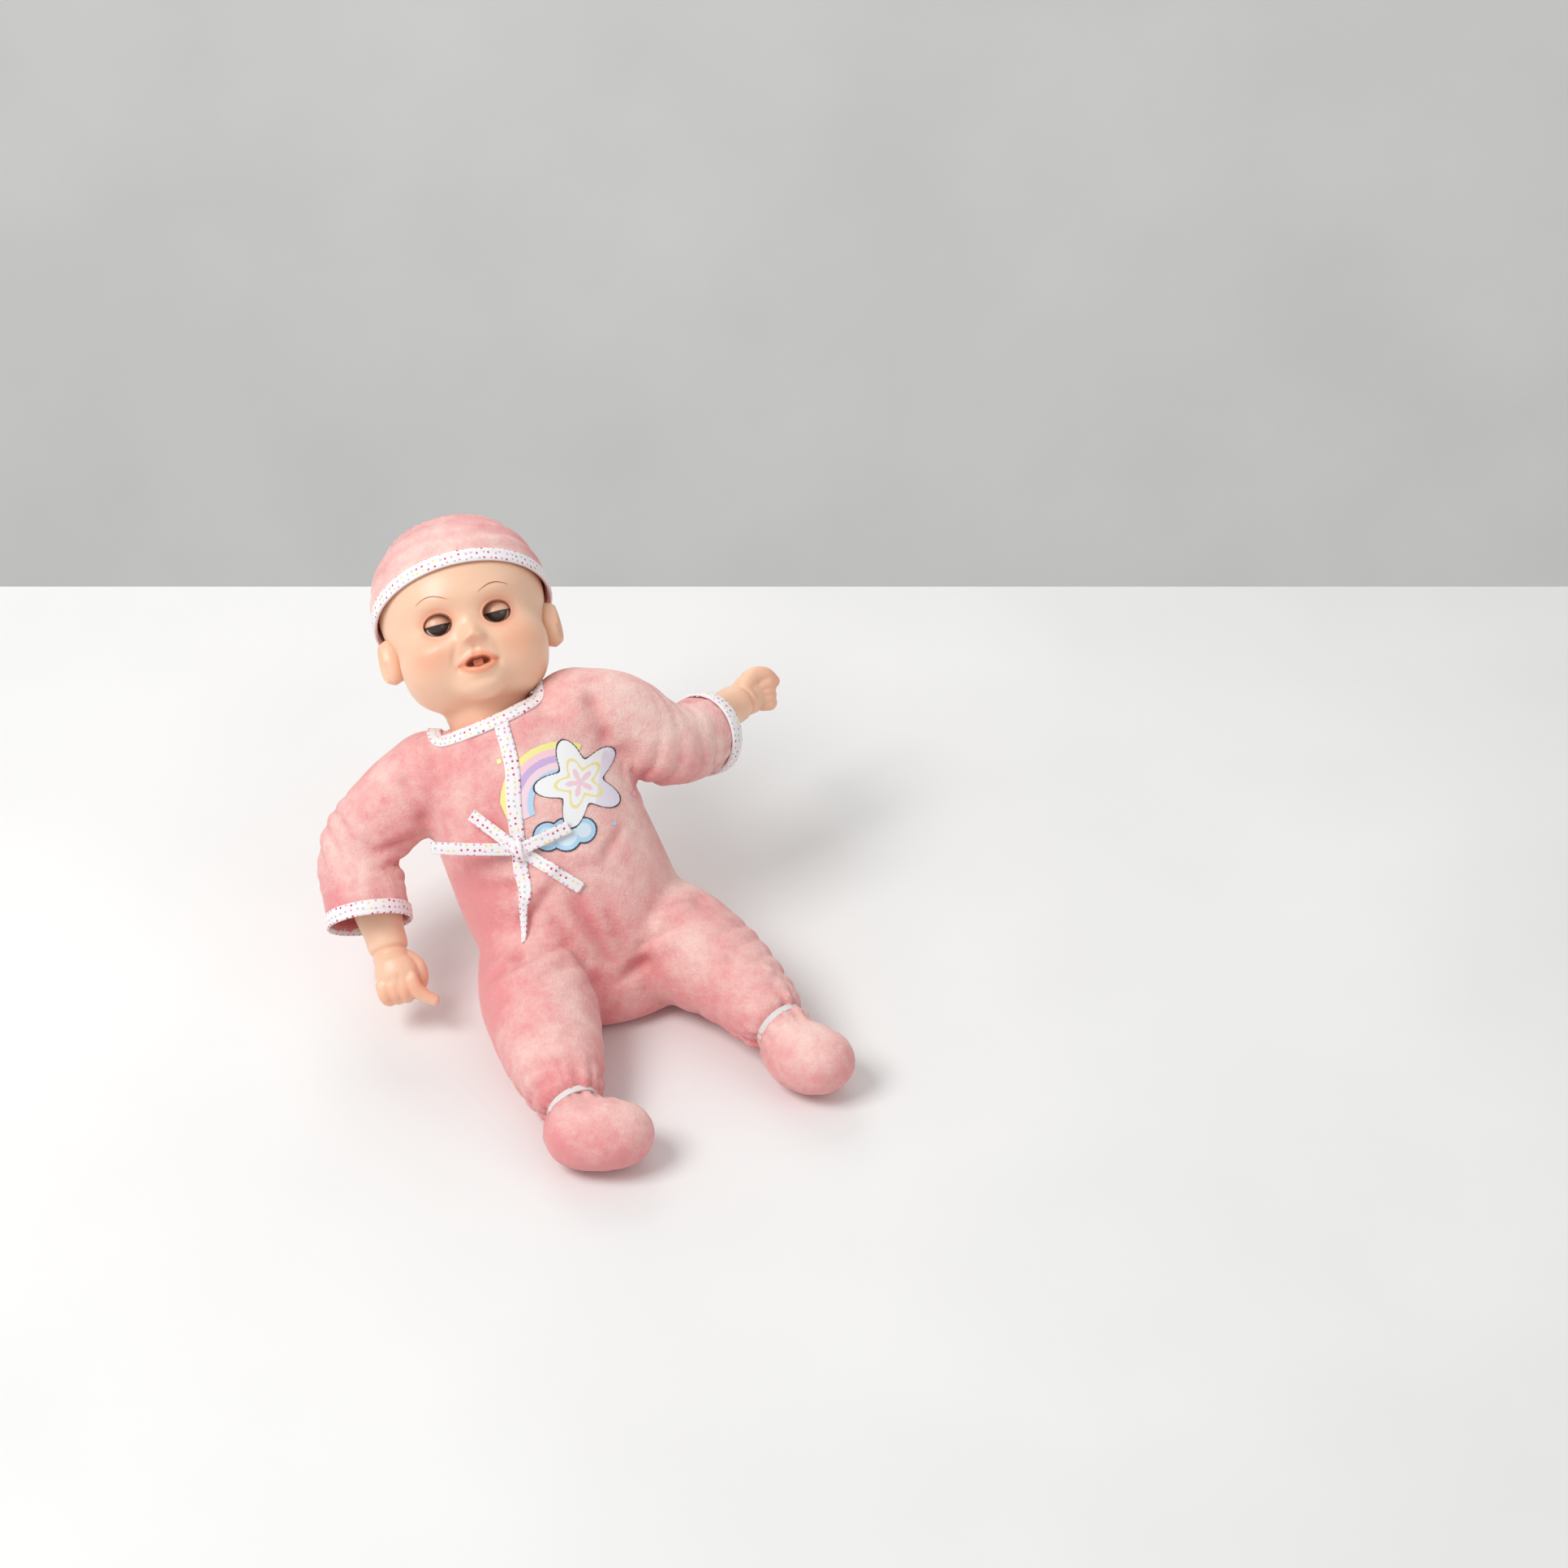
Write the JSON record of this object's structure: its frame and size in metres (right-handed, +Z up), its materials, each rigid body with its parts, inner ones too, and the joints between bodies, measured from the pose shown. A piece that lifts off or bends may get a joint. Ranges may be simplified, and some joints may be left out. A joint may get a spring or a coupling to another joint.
{
  "type": "baby doll",
  "caption": "Soft-bodied interactive baby doll, seated and leaning back, with a hollow vinyl head, sleeping eyes, vinyl hands, footed romper, cap and a sound module in its body.",
  "frame": {"origin": "middle of the bounding box footprint is not used: the origin is on the table under the middle of the hips", "axes": "+Z up, doll faces -Y, its left side is +X"},
  "size_m": [0.316, 0.3617, 0.2663],
  "materials": {
    "painted_metal_0": "satin",
    "chrome_1": "satin",
    "gloss_plastic_2": "satin",
    "gloss_plastic_3": "satin",
    "fabric_4": "matte",
    "rubber_5": "satin",
    "fabric_6": "matte",
    "rubber_7": "satin",
    "gloss_plastic_8": "satin",
    "fabric_9": "matte",
    "matte_plastic_10": "satin",
    "gloss_plastic_11": "satin",
    "gloss_plastic_12": "satin",
    "gloss_plastic_13": "satin",
    "fabric_14": "matte",
    "gloss_plastic_15": "satin",
    "gloss_plastic_16": "satin",
    "gloss_plastic_17": "satin"
  },
  "bodies": {
    "torso": {"cloth_body": "fabric_9", "romper_bodice": "fabric_6", "neck_binding": "fabric_4", "front_binding": "fabric_4", "chest_print": "rubber_7", "bow_knot": "fabric_4", "bow_ribbons": "fabric_4", "module_cover": "gloss_plastic_2", "module_case": "gloss_plastic_2", "battery_door": "gloss_plastic_2", "module_screws": "chrome_1", "speaker": "gloss_plastic_16", "circuit_board": "gloss_plastic_8", "batteries": "painted_metal_0", "battery_contacts": "chrome_1", "button_dome": "rubber_5", "switch_body": "gloss_plastic_17", "module_wire": "gloss_plastic_13"},
    "neck": {"neck_tie": "fabric_14"},
    "head": {"head_shell": "rubber_5", "right_eye_socket": "matte_plastic_10", "left_eye_socket": "matte_plastic_10", "mouth_switch": "gloss_plastic_2", "mouth_wire": "gloss_plastic_13"},
    "mouth_button": {"mouth_button": "rubber_5"},
    "cap": {"cap": "fabric_6", "cap_binding": "fabric_4"},
    "belly_button": {"belly_button": "gloss_plastic_3"},
    "power_switch": {"power_switch": "gloss_plastic_15"},
    "right_eye": {"right_eyeball": "gloss_plastic_11", "right_iris": "gloss_plastic_12", "right_eyelid": "rubber_5", "right_eye_weight": "chrome_1"},
    "right_arm": {"right_romper_sleeve": "fabric_6", "right_cuff_binding": "fabric_4", "right_cloth_arm": "fabric_9"},
    "right_hand": {"right_forearm": "rubber_5", "right_arm_tie": "gloss_plastic_2"},
    "right_leg": {"right_romper_leg": "fabric_6", "right_cloth_leg": "fabric_9", "right_lower_leg": "rubber_5", "right_leg_tie": "gloss_plastic_2", "right_ankle_elastic": "rubber_5"},
    "left_eye": {"left_eyeball": "gloss_plastic_11", "left_iris": "gloss_plastic_12", "left_eyelid": "rubber_5", "left_eye_weight": "chrome_1"},
    "left_arm": {"left_romper_sleeve": "fabric_6", "left_cuff_binding": "fabric_4", "left_cloth_arm": "fabric_9"},
    "left_hand": {"left_forearm": "rubber_5", "left_arm_tie": "gloss_plastic_2"},
    "left_leg": {"left_romper_leg": "fabric_6", "left_cloth_leg": "fabric_9", "left_lower_leg": "rubber_5", "left_leg_tie": "gloss_plastic_2", "left_ankle_elastic": "rubber_5"}
  },
  "joints": [
    {"name": "neck_nod", "type": "hinge", "parent": "torso", "child": "neck", "pos_m": [-0.03108, 0.08682, 0.16183], "axis": [0.9839, -0.1374, 0.1145], "range_deg": [-6, 10]},
    {"name": "head_turn", "type": "hinge", "parent": "neck", "child": "head", "pos_m": [-0.03108, 0.08682, 0.16183], "axis": [0, 0.6401, 0.7683], "range_deg": [-60, 60]},
    {"name": "right_eye_tilt", "type": "hinge", "parent": "head", "child": "right_eye", "pos_m": [-0.05425, 0.10209, 0.222], "axis": [0.9839, -0.1374, 0.1145], "range_deg": [-30, 30]},
    {"name": "left_eye_tilt", "type": "hinge", "parent": "head", "child": "left_eye", "pos_m": [-0.01883, 0.09714, 0.22612], "axis": [0.9839, -0.1374, 0.1145], "range_deg": [-30, 30]},
    {"name": "mouth_press", "type": "slide", "parent": "head", "child": "mouth_button", "axis": [0.1788, 0.7559, -0.6298], "range_m": [0, 0.002], "stiffness_N_per_m": 600},
    {"name": "cap_pull", "type": "slide", "parent": "head", "child": "cap", "axis": [0.0867, 0.9263, 0.3666], "range_m": [0, 0.11]},
    {"name": "belly_press", "type": "slide", "parent": "torso", "child": "belly_button", "axis": [0.2862, 0.8115, -0.5095], "range_m": [0, 0.0015], "stiffness_N_per_m": 800},
    {"name": "power_slide", "type": "slide", "parent": "torso", "child": "power_switch", "axis": [0.9361, -0.1233, 0.3294], "range_m": [0, 0.003]},
    {"name": "right_shoulder", "type": "hinge", "parent": "torso", "child": "right_arm", "pos_m": [-0.08462, 0.0819, 0.12392], "axis": [0.2862, 0.8115, -0.5095], "range_deg": [-8, 45]},
    {"name": "left_shoulder", "type": "hinge", "parent": "torso", "child": "left_arm", "pos_m": [0.03145, 0.06661, 0.16476], "axis": [-0.2862, -0.8115, 0.5095], "range_deg": [-8, 45]},
    {"name": "right_hand_twist", "type": "hinge", "parent": "right_arm", "child": "right_hand", "pos_m": [-0.12062, 0.0779, 0.09092], "axis": [0.0122, -0.754, -0.6567], "range_deg": [-40, 40]},
    {"name": "left_hand_twist", "type": "hinge", "parent": "left_arm", "child": "left_hand", "pos_m": [0.07145, 0.05161, 0.13376], "axis": [0.8257, 0.5432, -0.1521], "range_deg": [-40, 40]},
    {"name": "right_hip", "type": "hinge", "parent": "torso", "child": "right_leg", "pos_m": [-0.042, -0.008, 0.04], "axis": [-1, 0, 0], "range_deg": [-15, 18]},
    {"name": "left_hip", "type": "hinge", "parent": "torso", "child": "left_leg", "pos_m": [0.042, -0.008, 0.04], "axis": [-1, 0, 0], "range_deg": [-15, 18]}
  ]
}
